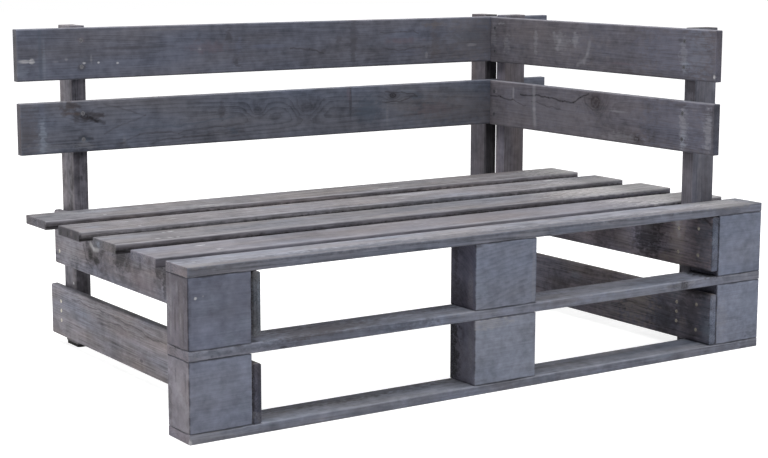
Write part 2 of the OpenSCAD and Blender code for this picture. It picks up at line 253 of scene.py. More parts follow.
def build_finish(t, base, place, seed, grains, dark, worn, amounts, grime, warmth, rings):
    """Colour, roughness and height of the stained surface. The amounts say how strongly
    streaks, fibres and mottle show."""
    late, fibre, blotch = t.node("SeparateXYZ", grains).outputs
    seeded = t.moved(place, (2.3, 0.7, 1.9), seed)
    hue = t.swings(seeded, (5, 18, 18), 2.0)
    streaks = t.swings(seeded, (3.4, 70, 70), 3.0, 0.55)
    mottle = t.swings(seeded, (70, 75, 75), 3.0, 0.55)
    bands = t.swings(seeded, (26, 12, 12), 1.5, 0.5)
    streaky, hairy, cloudy = t.node("SeparateXYZ", amounts).outputs
    # How light each spot is, from streaks and fibres up to blotches and year rings
    tone = t.math("MULTIPLY_ADD", streaks, streaky, 1.0)
    tone = t.math("MULTIPLY_ADD", t.math("SUBTRACT", fibre, 0.5), hairy, tone)
    tone = t.math("MULTIPLY_ADD", mottle, cloudy, tone)
    tone = t.math("MULTIPLY_ADD", bands, t.math("MULTIPLY", cloudy, 0.6), tone)
    tone = t.math("MULTIPLY_ADD", t.math("SUBTRACT", blotch, 0.5), 0.8, tone)
    tone = t.math("MULTIPLY_ADD", t.math("SUBTRACT", late, 0.2), t.math("MULTIPLY", rings, -1.0),
                  tone)
    colour = t.scaled(base, t.math("MAXIMUM", tone, 0.3))
    # Some areas are warmer, others cooler
    shift = t.math("MULTIPLY", hue, warmth)
    red = t.math("MULTIPLY_ADD", shift, 0.8, 1.0)
    blue = t.math("MULTIPLY_ADD", shift, -1.0, 1.0)
    colour = t.vector("MULTIPLY", colour, t.node("CombineXYZ", red, 1.0, blue).outputs[0])
    # Knots are dark, and edges are dirty or rubbed pale
    colour = t.mix(dark, colour, t.vector("MULTIPLY", colour, (0.34, 0.31, 0.30)))
    dirty = t.math("MULTIPLY", worn, t.math("MAXIMUM", grime, 0.0))
    colour = t.mix(dirty, colour, t.vector("MULTIPLY", colour, (0.22, 0.20, 0.20)))
    pale = t.vector("ADD", t.scaled(base, 1.35), (0.04, 0.04, 0.04))
    rubbed = t.math("MULTIPLY", worn, t.math("MAXIMUM", t.math("MULTIPLY", grime, -1.0), 0.0))
    colour = t.mix(rubbed, colour, pale)
    rough = t.math("MULTIPLY_ADD", streaks, 0.25, 0.62)
    rough = t.math("MULTIPLY_ADD", late, -0.08, rough)
    height = t.math("MULTIPLY_ADD", fibre, 0.5, t.math("MULTIPLY", late, 0.35))
    height = t.math("MULTIPLY_ADD", mottle, 0.5, height)
    height = t.math("MULTIPLY_ADD", dark, -0.6, height)
    return colour, rough, height


FINISH = group(
    "finish",
    [("Base", "Color"), ("Place", "Vector"), ("Seed", "Float"), ("Late fibre blotch", "Vector"),
     ("Dark", "Float"), ("Worn", "Float"), ("Amounts", "Vector"), ("Grime", "Float"),
     ("Warmth", "Float"), ("Rings", "Float")],
    [("Color", "Color"), ("Roughness", "Float"), ("Height", "Float")],
    build_finish)


def build_face_light(t, colour, face_light_x, face_light_y, face_light_z):
    """Painted light and shade: tints the faces that look along each axis lighter or darker."""
    normal = t.vector("ABSOLUTE", t.node("TexCoord").outputs["Normal"])
    for part, tint in zip(t.node("SeparateXYZ", normal).outputs, (face_light_x, face_light_y, face_light_z)):
        colour = t.mix(t.step(part, 0.5, 0.9), colour, t.vector("MULTIPLY", colour, tint))
    return [colour]


FACE_LIGHT = group(
    "faces",
    [("Color", "Color"), ("Face light X", "Vector"), ("Face light Y", "Vector"), ("Face light Z", "Vector")],
    [("Color", "Color")],
    build_face_light)


def material(name):
    """A new material, with its tree and its shader."""
    made = bpy.data.materials.new(name)
    made.use_nodes = True
    tree = made.node_tree
    tree.nodes.clear()
    t = Tree(tree)
    shader = t.node("BsdfPrincipled")
    out = tree.nodes.new("ShaderNodeOutputMaterial")
    tree.links.new(shader.outputs[0], out.inputs["Surface"])
    return made, t, shader


def add_bump(t, shader, height, strength, distance):
    """Fine relief on a surface; distance is its depth in metres."""
    bump = t.node("Bump")
    bump.inputs["Strength"].default_value = strength
    bump.inputs["Distance"].default_value = distance
    t.feed(bump.inputs["Height"], height)
    t.feed(shader.inputs["Normal"], bump.outputs[0])


def dress(obj, made):
    """Gives an object this material and no other."""
    obj.data.materials.clear()
    obj.data.materials.append(made)


# Millimetres in a metre
MM = 1000
# Specular level of stained wood and of dusty plastic
MATT = 0.08
# A mark whose radii are all larger than this, in millimetres, gets a ragged edge
RAGGED_FROM = 5.5


class Piece:
    """The box of a CAD node, seen along its grain, across it and through its thin side."""

    def __init__(self, node, grain):
        low, high = (Vector(corner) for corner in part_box(node))
        self.centre = (low + high) / 2
        self.size = high - low
        others = sorted((axis for axis in "xyz" if axis != grain),
                        key=lambda axis: -self.size["xyz".index(axis)])
        self.order = grain + "".join(others)

    def arranged(self, vector):
        """The parts of a vector along the grain, across it and through the thin side."""
        return tuple(vector["xyz".index(axis)] for axis in self.order)

    def spot(self, at):
        """A point, given in millimetres from the low corner of the piece."""
        return self.arranged(Vector(at) / MM - self.size / 2)


def paint(t, piece, place, fibre, colour, marks, lines):
    """Lays the marks of a piece over its colour, and its lines over them."""
    torn = t.swings(place, (90, 150, 150), 3.0, 0.6)
    soft, ragged = t.math("MULTIPLY", torn, 0.8), t.math("MULTIPLY", torn, 2.4)
    wave = t.math("MULTIPLY", t.swings(place, (28, 9, 9), 2.0), 0.016)
    bent = t.vector("ADD", place, t.node("CombineXYZ", 0.0, wave, 0.0).outputs[0])
    for at, radius, tint, strength in marks:
        fringe = ragged if min(radius) > RAGGED_FROM else soft
        reach = piece.arranged(Vector(radius) / MM)
        mask = use(t, MARK, place, piece.spot(at), reach, fringe, fibre)[0]
        colour = t.mix(t.math("MULTIPLY", mask, strength), colour, tint)
    for points, width, tint, strength in lines:
        for start, end in zip(points, points[1:]):
            mask = use(t, LINE, bent, piece.spot(start), piece.spot(end), width / MM, soft)[0]
            colour = t.mix(t.math("MULTIPLY", mask, strength), colour, tint)
    return colour


def wood(node, grain, base, seed, pith=(0.01, -0.04, 0.03), ring=0.0042, swing=0.02, rings=0.25,
         knots=(), marks=(), lines=(), worn=0.0035, grime=-0.4, warmth=0.3,
         amounts=(0.5, 0.7, 0.5), face_light_x=(1, 1, 1), face_light_y=(1, 1, 1), face_light_z=(1, 1, 1)):
    """Gives a CAD node the material of a stained piece of softwood.

    A knot has a centre, a size and a shade, a mark a centre, its radii, a tint and a strength,
    and a line its points, a width, a tint and a strength, all in millimetres from the low
    corner of the piece. Pith, ring and swing are the place, the width and the waves of the
    year rings, in metres, and rings is how strongly they show. The amounts say how strongly
    streaks, fibres and mottle show. Worn is the width of the worn edges, and grime darkens
    them, or rubs them pale where it is below 0."""
    piece = Piece(node, grain)
    made, t, shader = material("wood_" + node)
    offset = t.vector("SUBTRACT", t.node("TexCoord").outputs["Object"], tuple(piece.centre))
    parts = t.node("SeparateXYZ", offset).outputs
    place = t.node("CombineXYZ", *piece.arranged(parts)).outputs[0]
    push, dark = 0.0, 0.0
    for i, (at, size, shade) in enumerate(knots):
        more, dim = use(t, KNOT, place, piece.spot(at), size / MM, shade, seed + i)
        push = t.math("ADD", push, more)
        dark = t.math("MAXIMUM", dark, dim)
    grains, fibre = use(t, GRAIN, place, seed, pith, ring, swing, push)
    edge = use(t, EDGE, place, piece.arranged(piece.size / 2), worn, seed)[0]
    colour, rough, height = use(t, FINISH, base, place, seed, grains, dark, edge, amounts, grime,
                                warmth, rings)
    # Painted light and shade: each face is tinted lighter or darker by the way it looks
    colour = use(t, FACE_LIGHT, colour, face_light_x, face_light_y, face_light_z)[0]
    t.feed(shader.inputs["Base Color"], paint(t, piece, place, fibre, colour, marks, lines))
    t.feed(shader.inputs["Roughness"], rough)
    shader.inputs["Specular IOR Level"].default_value = MATT
    add_bump(t, shader, height, strength=0.5, distance=0.0006)
    dress(nodes[node], made)


# Stains of the pieces
FRONT = (0.165, 0.176, 0.222, 1)
TOP = (0.165, 0.163, 0.176, 1)
SIDE = (0.138, 0.132, 0.146, 1)
POST = (0.122, 0.117, 0.131, 1)
BACK = (0.101, 0.106, 0.134, 1)

# Tints of the marks and lines, from dark to light
BLACK = (0.012, 0.011, 0.012, 1)
DARK = (0.048, 0.045, 0.052, 1)
BROWN = (0.078, 0.066, 0.067, 1)
DEEP = (0.070, 0.088, 0.118, 1)
WARM = (0.122, 0.110, 0.114, 1)
ROSE = (0.128, 0.100, 0.120, 1)
BLUE = (0.115, 0.125, 0.175, 1)
TAN = (0.200, 0.175, 0.160, 1)
MIST = (0.205, 0.235, 0.290, 1)
PALE = (0.260, 0.260, 0.285, 1)
# Pale wear, and on the seat slats also painted sheen towards their right ends
WEAR_AND_SHEEN = (0.420, 0.410, 0.410, 1)
BRIGHT = (0.620, 0.615, 0.630, 1)

# Radius of a mark that runs along a whole piece
ALONG = 3000
# Dark lower edges of the back boards and of the side boards
BACK_LOW_EDGE = [((550, 0, 0), (ALONG, 7, 4), DARK, 0.35)]
SIDE_LOW_EDGE = [((0, 300, 0), (7, ALONG, 4), DARK, 0.35)]


def front_wear_and_shade(light, dark):
    """The front face of a slat: rubbed pale along its top edge, and painted shade in a dark band in
    the gap below.
    """
    return [((550, 0, 15), (ALONG, 5, 6), PALE, light), ((550, 0, 2), (ALONG, 5, 10), BLACK, dark)]


def joint_shade(z):
    """Painted shade in the joints between a front board and the blocks, at height z on the board."""
    # The middle of each block, and a little more than half its width
    blocks = ((50, 58), (550, 66), (1050, 58))
    shaded_joints = [((middle, 0, z), (reach, 5, 2.2), BLACK, 0.8) for middle, reach in blocks]
    return shaded_joints + [((0, 32, z), (5, 38, 2.2), BLACK, 0.8)]


# Slats of the seat, from the front to the back: smooth ones and rough ones
SMOOTH = (0.7, 1.3, 0.6)
ROUGH = (1.2, 2.6, 0.8)
# On the slat tops, the wide pale marks towards the right ends are painted sheen, and the wide dark
# marks across the middle are painted shade. On the first slat the long dark strip along the front of
# the top is painted shade, and so are the dark marks at the back of the top near the right end.
wood("seat_slat_1", "x", TOP, 3.1, amounts=SMOOTH, face_light_x=(0.93, 0.85, 0.88),
     face_light_y=(0.85, 0.91, 1.05), face_light_z=(1.11, 1.12, 1.16),
     marks=[((300, 50, 15), (200, 9, 6), MIST, 0.3), ((531, 50, 15), (90, 10, 6), PALE, 0.4),
            ((795, 55, 15), (90, 8, 6), PALE, 0.4), ((1058, 45, 15), (30, 14, 6), PALE, 0.3),
            ((22, 0, 7), (34, 6, 9), DARK, 0.25), ((300, 0, 4), (120, 6, 4), DEEP, 0.35),
            ((700, 0, 5), (160, 6, 4), DEEP, 0.3), ((290, 14, 15), (190, 18, 6), DEEP, 0.6),
            ((280, 44, 15), (120, 30, 6), WARM, 0.45), ((700, 12, 15), (240, 14, 6), DEEP, 0.6),
            ((1030, 32, 15), (80, 110, 6), WEAR_AND_SHEEN, 0.55), ((1098, 32, 15), (24, 90, 6), DEEP, 0.5),
            ((975, 64, 15), (60, 16, 6), DARK, 0.4), ((540, 4, 15), (ALONG, 22, 6), DARK, 0.5),
            ((20, 58, 15), (44, 20, 6), DARK, 0.6), ((1012, 0, 7), (44, 6, 9), DARK, 0.25),
            ((1013, 58, 15), (40, 14, 6), DARK, 0.35), ((607, 0, 8), (44, 6, 9), PALE, 0.25),
            ((22, 10, 15), (34, 16, 6), WEAR_AND_SHEEN, 0.2)] + joint_shade(0))
wood("seat_slat_2", "x", TOP, 4.8, amounts=SMOOTH, face_light_x=(0.86, 0.81, 0.88),
     face_light_y=(0.78, 0.75, 0.83), face_light_z=(0.93, 0.91, 0.94),
     marks=[((101, 57, 15), (12, 3, 6), BRIGHT, 0.55), ((112, 17, 15), (12, 2.5, 6), BRIGHT, 0.5),
            ((24, 58, 15), (16, 10, 6), PALE, 0.35), ((422, 12, 15), (80, 5, 6), PALE, 0.3),
            ((925, 60, 15), (50, 7, 6), PALE, 0.5), ((845, 26, 15), (40, 5, 6), DARK, 0.4),
            ((636, 32, 15), (90, 10, 6), WARM, 0.4), ((0, 66, 8), (5, 9, 8), PALE, 0.4),
            ((0, 50, 5), (5, 7, 6), DARK, 0.5), ((0, 34, 10), (5, 8, 6), PALE, 0.35),
            ((0, 18, 5), (5, 7, 8), DARK, 0.4), ((0, 6, 9), (5, 5, 6), PALE, 0.3),
            ((600, 50, 15), (190, 50, 6), WARM, 0.5), ((360, 62, 15), (110, 30, 6), WARM, 0.4),
            ((400, 34, 15), (150, 40, 6), DARK, 0.15), ((1070, 36, 15), (210, 120, 6), WEAR_AND_SHEEN, 0.75),
            ((1010, 0, 6), (60, 5, 30), BLACK, 0.7), ((250, 78, 15), (100, 16, 6), DARK, 0.35),
            ((607, 0, 15), (70, 5, 8), PALE, 0.5), ((968, 50, 15), (44, 20, 6), DARK, 0.25),
            ((653, 58, 15), (50, 16, 6), DARK, 0.2), ((292, 76, 15), (40, 16, 6), DARK, 0.35)]
     + front_wear_and_shade(0.4, 0.3))
wood("seat_slat_3", "x", TOP, 6.5, amounts=(1.0, 2.0, 0.7), face_light_x=(0.64, 0.61, 0.62),
     face_light_y=(0.76, 0.73, 0.79), face_light_z=(0.87, 0.85, 0.84),
     marks=[((121, 62, 15), (8, 3, 6), BRIGHT, 0.6), ((96, 12, 15), (8, 3, 6), BRIGHT, 0.6),
            ((76, 15, 15), (7, 3, 6), BRIGHT, 0.5), ((334, 55, 15), (90, 12, 6), MIST, 0.35),
            ((443, 45, 15), (120, 8, 6), PALE, 0.25), ((1000, 66, 15), (50, 9, 6), PALE, 0.5),
            ((737, 70, 15), (110, 6, 6), MIST, 0.3), ((850, 20, 15), (90, 5, 6), BROWN, 0.35),
            ((0, 62, 5), (6, 8, 7), MIST, 0.6), ((0, 40, 8), (6, 14, 7), WARM, 0.5),
            ((0, 8, 8), (6, 8, 9), BLACK, 0.5), ((20, 8, 15), (26, 9, 6), DARK, 0.35),
            ((540, 66, 15), (480, 38, 6), DARK, 0.3), ((420, 30, 15), (160, 40, 6), DARK, 0.15),
            ((1050, 40, 15), (240, 130, 6), WEAR_AND_SHEEN, 0.65), ((788, 58, 15), (50, 16, 6), DARK, 0.2)]
     + front_wear_and_shade(0.45, 1.0))
# The dark mark over the left end of this slat is painted shade
wood("seat_slat_4", "x", TOP, 8.2, amounts=ROUGH, face_light_x=(0.47, 0.44, 0.48),
     face_light_y=(1.2, 1.17, 1.2), face_light_z=(0.99, 0.96, 0.95),
     marks=[((98, 62, 15), (12, 3, 6), PALE, 0.7), ((632, 62, 15), (60, 6, 6), BRIGHT, 0.5),
            ((700, 66, 15), (40, 4, 6), BRIGHT, 0.35), ((975, 66, 15), (16, 4, 6), BRIGHT, 0.8),
            ((1000, 20, 15), (34, 6, 6), DARK, 0.55), ((383, 60, 15), (60, 12, 6), MIST, 0.45),
            ((40, 40, 15), (22, 20, 6), MIST, 0.3), ((560, 20, 15), (120, 7, 6), WARM, 0.4),
            ((0, 40, 7), (5, 140, 40), DARK, 0.95), ((0, 70, 6), (5, 6, 9), BLACK, 0.6),
            ((0, 44, 6), (5, 5, 9), BLACK, 0.7), ((0, 30, 9), (5, 6, 6), WARM, 0.7),
            ((0, 14, 5), (5, 7, 7), BLACK, 0.6), ((420, 34, 15), (170, 70, 6), DARK, 0.25),
            ((240, 66, 15), (110, 22, 6), DARK, 0.25), ((600, 62, 15), (90, 26, 6), DARK, 0.2),
            ((472, 8, 15), (60, 14, 6), DARK, 0.6), ((1070, 20, 15), (190, 60, 6), WEAR_AND_SHEEN, 0.5),
            ((1010, 0, 7), (150, 6, 24), DARK, 0.7), ((832, 0, 7), (50, 6, 24), DARK, 0.35),
            ((608, 54, 15), (44, 16, 6), DARK, 0.3)] + front_wear_and_shade(0.45, 1.0))
wood("seat_slat_5", "x", TOP, 9.9, amounts=ROUGH, face_light_x=(0.69, 0.65, 0.67),
     face_light_y=(1.07, 1.0, 1.02), face_light_z=(0.82, 0.8, 0.79),
     marks=[((637, 62, 15), (40, 8, 6), PALE, 0.6), ((668, 14, 15), (34, 6, 6), BRIGHT, 0.45),
            ((917, 30, 15), (36, 9, 6), WARM, 0.6), ((917, 30, 15), (18, 4, 6), PALE, 0.4),
            ((389, 40, 15), (90, 12, 6), WARM, 0.35), ((120, 50, 15), (50, 14, 6), PALE, 0.25),
            ((1090, 40, 15), (100, 140, 6), WEAR_AND_SHEEN, 0.85), ((970, 66, 15), (70, 26, 6), WARM, 0.5),
            ((950, 0, 7), (330, 6, 24), DARK, 0.2), ((291, 8, 15), (54, 14, 6), WEAR_AND_SHEEN, 0.3),
            ((66, 55, 15), (34, 16, 6), WEAR_AND_SHEEN, 0.25), ((697, 0, 7), (50, 6, 24), DARK, 0.3)]
     + front_wear_and_shade(0.45, 1.0))

# Boards of the front frame
PLANED = (0.5, 0.8, 0.9)
# Painted light and shade: on the front face, the long dark mark at the left and the long pale ones
# at the right make the board lighter towards the right. The dark marks along the back of the top are
# painted shade, and the black one by the right block is a painted shadow.
wood("front_middle_board", "x", FRONT, 12.3, amounts=PLANED, face_light_x=(0.93, 0.82, 0.77),
     face_light_y=(0.98, 0.97, 0.96), face_light_z=(1.11, 1.09, 1.04),
     knots=[((925, 0, 8), 7, 0.9)],
     marks=joint_shade(0) + joint_shade(15) + [
         ((900, 0, 9), (22, 8, 5), DARK, 0.7), ((940, 0, 11), (16, 8, 4), PALE, 0.45),
         ((150, 0, 3), (9, 8, 3), BLACK, 0.9), ((175, 0, 13), (40, 12, 6), WARM, 0.4),
         ((230, 30, 15), (120, 50, 8), BROWN, 0.6), ((660, 0, 10), (60, 8, 6), WARM, 0.4),
         ((40, 0, 8), (34, 8, 6), DEEP, 0.4), ((780, 0, 6), (60, 8, 6), DEEP, 0.4),
         ((340, 0, 6), (50, 8, 5), DEEP, 0.4), ((1040, 0, 8), (34, 8, 6), DEEP, 0.3),
         ((240, 0, 8), (240, 6, 24), DARK, 0.5), ((490, 0, 8), (60, 6, 24), PALE, 0.25),
         ((830, 0, 8), (150, 6, 24), PALE, 0.3), ((990, 40, 15), (26, 60, 6), BLACK, 0.95),
         ((780, 30, 15), (70, 40, 6), PALE, 0.35), ((360, 58, 15), (380, 30, 6), DARK, 0.75),
         ((700, 60, 15), (100, 26, 6), DARK, 0.4), ((470, 58, 15), (50, 22, 6), BLACK, 0.5),
         ((1088, 0, 8), (34, 6, 24), PALE, 0.35), ((382, 0, 7), (44, 6, 24), DARK, 0.25),
         ((157, 0, 7), (40, 6, 24), DARK, 0.25), ((470, 8, 15), (40, 14, 6), PALE, 0.4),
         ((786, 8, 15), (70, 14, 6), PALE, 0.45)])
# Painted light and shade: the long pale mark at the left end of the front face, the long dark ones
# further right, and the long dark mark along the back of the top
wood("front_bottom_board", "x", FRONT, 13.9, amounts=PLANED, face_light_x=(1.07, 0.92, 0.85),
     face_light_y=(1.08, 1.05, 1.01), face_light_z=(1.3, 1.26, 1.16),
     marks=joint_shade(15) + [
         ((0, 0, 2), (5, 5, 9), BRIGHT, 0.8), ((150, 30, 15), (60, 20, 6), WARM, 0.4),
         ((880, 0, 10), (40, 8, 5), MIST, 0.4), ((830, 30, 15), (60, 24, 6), MIST, 0.3),
         ((300, 0, 6), (80, 8, 5), DEEP, 0.35), ((620, 0, 8), (60, 8, 6), DEEP, 0.35),
         ((300, 40, 15), (90, 9, 6), DARK, 0.3), ((700, 40, 15), (120, 8, 6), DARK, 0.3),
         ((30, 0, 6), (60, 6, 24), PALE, 0.35), ((410, 0, 8), (70, 6, 24), DARK, 0.25),
         ((1085, 0, 8), (50, 6, 24), DARK, 0.5), ((290, 58, 15), (300, 30, 6), DARK, 0.7),
         ((157, 30, 15), (44, 16, 6), PALE, 0.25)])

# Blocks of the front frame
BLOCK = dict(pith=(-0.5, 0.12, 0.01), ring=0.006, swing=0.06, rings=0.04, worn=0.003, grime=0.8,
             warmth=0.15, amounts=(0.08, 0.35, 0.85))
# The dark marks high on the side and front faces of the left blocks are painted shade under the
# piece above
wood("block_left_upper", "x", FRONT, 21.3, face_light_x=(0.76, 0.65, 0.60), face_light_y=(0.84, 0.84, 0.88),
     **BLOCK,
     marks=[((30, 0, 66), (24, 6, 20), MIST, 0.16), ((12, 0, 74), (3, 6, 3), BRIGHT, 0.8),
            ((24, 0, 76), (1.6, 6, 1.6), BRIGHT, 0.3), ((55, 0, 60), (12, 6, 40), DEEP, 0.2),
            ((84, 0, 46), (16, 6, 64), BLUE, 0.35), ((0, 20, 50), (6, 9, 60), WARM, 0.5),
            ((0, 50, 70), (6, 6, 40), PALE, 0.35), ((3, 0, 60), (4, 6, 44), DARK, 0.35),
            ((0, 38, 40), (5, 4, 30), DARK, 0.6), ((0, 6, 80), (5, 7, 24), DARK, 0.6),
            ((0, 14, 30), (5, 3, 30), BLACK, 0.4), ((0, 26, 74), (5, 3, 20), BLACK, 0.4),
            ((0, 22, 40), (5, 3, 16), PALE, 0.4), ((0, 32, 86), (5, 4, 12), PALE, 0.4),
            ((0, 52, 26), (5, 4, 24), PALE, 0.4), ((0, 58, 90), (5, 3, 14), DARK, 0.5),
            ((0, 46, 60), (5, 2.5, 24), DARK, 0.4), ((0, 10, 10), (5, 8, 6), DARK, 0.5),
            ((0, 32, 104), (6, 60, 36), DARK, 0.35), ((50, 0, 106), (90, 6, 26), DARK, 0.15),
            ((0, 60, 52), (6, 8, 26), PALE, 0.6), ((89, 0, 32), (18, 6, 22), MIST, 0.25),
            ((65, 0, 10), (26, 6, 14), MIST, 0.25)])
wood("block_left_lower", "x", FRONT, 23.6, face_light_x=(1.19, 1.04, 0.94), face_light_y=(1.01, 1.03, 1.07),
     **BLOCK,
     marks=[((50, 0, 60), (40, 6, 18), MIST, 0.12), ((0, 30, 60), (6, 14, 30), PALE, 0.35),
            ((0, 20, 20), (6, 20, 20), ROSE, 0.3), ((0, 55, 40), (6, 6, 50), WARM, 0.4),
            ((0, 10, 70), (5, 3, 26), DARK, 0.4), ((0, 40, 80), (5, 3, 16), DARK, 0.35),
            ((0, 34, 24), (5, 4, 20), DARK, 0.3), ((0, 6, 14), (5, 6, 8), DARK, 0.4),
            ((0, 32, 104), (6, 60, 38), DARK, 0.35), ((0, 14, 20), (6, 24, 40), PALE, 0.3),
            ((0, 60, 42), (6, 9, 44), DARK, 0.55), ((89, 0, 32), (18, 6, 22), MIST, 0.25)])
# The black marks on the side face of this block, at the back and under its top, are painted shade
# inside the frame
wood("block_centre_upper", "x", FRONT, 25.9, pith=(-0.1, 0.05, 0.25), ring=0.0055, swing=0.03,
     rings=0.16, worn=0.003, grime=0.8, warmth=0.2, amounts=(0.12, 0.4, 0.9),
     face_light_x=(0.71, 0.65, 0.7), face_light_y=(0.93, 0.95, 0.97),
     marks=[((4, 0, 50), (5, 6, 70), MIST, 0.35), ((5, 0, 100), (12, 6, 4), DARK, 0.6),
            ((113, 0, 50), (5, 6, 70), PALE, 0.3), ((0, 40, 20), (6, 20, 30), BLACK, 0.3),
            ((0, 12, 30), (5, 12, 60), PALE, 0.2), ((0, 50, 70), (5, 5, 40), BLACK, 0.3),
            ((0, 4, 50), (5, 4, 80), BLUE, 0.3), ((0, 50, 96), (6, 26, 34), BLACK, 0.35),
            ((0, 58, 50), (6, 20, 160), BLACK, 0.5), ((12, 0, 32), (16, 6, 28), MIST, 0.35),
            ((0, 12, 33), (6, 9, 26), PALE, 0.2)])
# The black marks on the side face of this block, at the back and under its top, are painted shade
# inside the frame
wood("block_centre_lower", "x", FRONT, 28.2, face_light_x=(0.94, 0.87, 0.88), face_light_y=(1.2, 1.22, 1.21),
     **BLOCK,
     marks=[((20, 0, 85), (24, 6, 14), MIST, 0.3), ((0, 50, 30), (6, 14, 40), BLACK, 0.5),
            ((0, 12, 50), (5, 5, 60), PALE, 0.15), ((0, 30, 80), (5, 5, 24), BLACK, 0.3),
            ((0, 54, 92), (6, 24, 34), BLACK, 0.35), ((0, 16, 16), (6, 24, 40), PALE, 0.15),
            ((0, 62, 50), (6, 26, 160), BLACK, 0.9), ((24, 0, 97), (60, 6, 14), PALE, 0.8),
            ((0, 12, 66), (6, 9, 40), PALE, 0.3)])
# The black mark over the whole inner side face is painted shade inside the frame
wood("block_right_upper", "x", FRONT, 30.5, face_light_x=(0.8, 0.76, 0.8), face_light_y=(0.97, 1.01, 1.06),
     **BLOCK,
     marks=[((70, 0, 30), (20, 6, 16), DARK, 0.12), ((0, 32, 50), (4, 200, 300), BLACK, 0.65)])
# The black mark over the whole inner side face is painted shade inside the frame
wood("block_right_lower", "x", FRONT, 32.8, face_light_x=(0.8, 0.76, 0.8), face_light_y=(1.24, 1.26, 1.28),
     **BLOCK,
     marks=[((60, 0, 70), (30, 6, 20), MIST, 0.15), ((0, 32, 50), (4, 200, 300), BLACK, 0.55),
            ((84, 0, 50), (40, 6, 90), DEEP, 0.2), ((88, 0, 9), (26, 6, 20), DARK, 0.3),
            ((12, 0, 43), (18, 6, 42), PALE, 0.3)])

# Boards on edge at the ends of the seat
RIGHT_APRON = dict(amounts=(1.3, 1.5, 1.2), grime=0.6, warmth=0.5)
# The black marks at the front end, by the block, are a painted shadow, and the black one along the
# top near the back is painted shade under the slats
wood("apron_left_upper", "y", SIDE, 41.7, warmth=0.5, face_light_x=(1.20, 1.17, 1.20),
     face_light_y=(0.58, 0.62, 0.63), amounts=(0.8, 1.4, 1.4), rings=0.15,
     marks=[((0, 600, 40), (6, 50, 44), PALE, 0.3), ((0, 487, 60), (6, 22, 22), BROWN, 0.7),
            ((0, 424, 46), (6, 34, 20), DARK, 0.9), ((0, 395, 36), (5, 14, 10), BLACK, 0.6),
            ((0, 436, 36), (5, 8, 10), BLACK, 0.5), ((0, 369, 52), (6, 16, 12), PALE, 0.5),
            ((0, 337, 56), (6, 16, 14), PALE, 0.6), ((0, 352, 46), (5, 6, 10), DARK, 0.6),
            ((0, 430, 62), (5, 6, 12), PALE, 0.6), ((0, 408, 40), (5, 4, 8), PALE, 0.6),
            ((0, 289, 54), (6, 20, 28), BLACK, 0.6), ((0, 266, 34), (6, 12, 44), DARK, 0.7),
            ((0, 248, 60), (6, 8, 36), MIST, 0.5), ((0, 320, 28), (6, 40, 12), PALE, 0.25),
            ((0, 532, 42), (6, 34, 26), BROWN, 0.6), ((0, 500, 22), (6, 40, 12), ROSE, 0.3),
            ((0, 580, 56), (6, 10, 12), DARK, 0.5), ((0, 400, 12), (6, 60, 8), DARK, 0.35),
            ((0, 540, 36), (4, 15, 13), BLACK, 0.95), ((0, 518, 30), (4, 16, 9), BLACK, 0.95),
            ((0, 552, 54), (4, 7, 14), DARK, 0.9), ((0, 496, 42), (5, 7, 10), DARK, 0.6),
            ((1, 0, 46), (4, 10, 90), BLACK, 0.9), ((12, 0, 50), (4, 8, 50), MIST, 0.4),
            ((0, 640, 50), (6, 60, 80), PALE, 0.3), ((0, 538, 34), (4, 13, 12), BLACK, 0.9),
            ((0, 516, 28), (4, 14, 9), BLACK, 0.9), ((0, 424, 50), (6, 44, 30), BLACK, 0.4),
            ((0, 275, 50), (6, 34, 30), BLACK, 0.35), ((0, 600, 88), (6, 60, 8), BLACK, 0.5),
            ((0, 340, 20), (6, 60, 16), ROSE, 0.4), ((0, 505, 60), (6, 40, 60), DARK, 0.25),
            ((0, 488, 34), (6, 34, 40), DARK, 0.35), ((0, 450, 24), (6, 60, 24), DARK, 0.2),
            ((0, 292, 32), (6, 24, 20), DARK, 0.35), ((7, 0, 32), (14, 6, 20), DARK, 0.4),
            ((0, 558, 50), (6, 14, 16), DARK, 0.35)],
     lines=[(((0, 538, 56), (0, 526, 48), (0, 508, 48)), 6, BRIGHT, 0.55),
            (((0, 508, 48), (0, 498, 58)), 4, PALE, 0.5),
            (((0, 566, 48), (0, 556, 26), (0, 532, 14)), 3, DARK, 0.6)])
# The black marks at the front end, by the block, are a painted shadow, and the long black one along
# the top is painted shade
wood("apron_left_lower", "y", SIDE, 44.8, warmth=0.5, face_light_x=(1.48, 1.45, 1.44),
     face_light_y=(0.55, 0.57, 0.68), amounts=(0.9, 1.5, 0.8),
     marks=[((0, 560, 58), (6, 30, 14), MIST, 0.3), ((0, 660, 40), (6, 20, 30), PALE, 0.25),
            ((0, 420, 55), (6, 24, 10), ROSE, 0.4), ((0, 355, 20), (6, 9, 4), DARK, 0.7),
            ((0, 350, 28), (6, 20, 8), ROSE, 0.4), ((0, 480, 30), (6, 40, 5), WARM, 0.5),
            ((8, 330, 88), (20, 400, 5), BLACK, 0.6), ((1, 0, 44), (4, 10, 90), BLACK, 0.9),
            ((12, 0, 44), (6, 4, 90), BLACK, 0.5), ((0, 690, 10), (6, 24, 20), DARK, 0.35),
            ((7, 0, 80), (14, 6, 22), BLACK, 0.3), ((7, 0, 11), (14, 6, 14), PALE, 0.25),
            ((0, 450, 10), (6, 64, 16), DARK, 0.25)],
     lines=[(((0, 640, 80), (0, 504, 81), (0, 400, 77), (0, 303, 71)), 1.8, PALE, 0.6),
            (((0, 620, 74), (0, 500, 74), (0, 390, 70), (0, 290, 62)), 1.6, DARK, 0.6),
            (((0, 560, 68), (0, 450, 66), (0, 330, 58)), 1.4, PALE, 0.5),
            (((0, 520, 58), (0, 440, 62), (0, 360, 54)), 1.6, DARK, 0.4)])
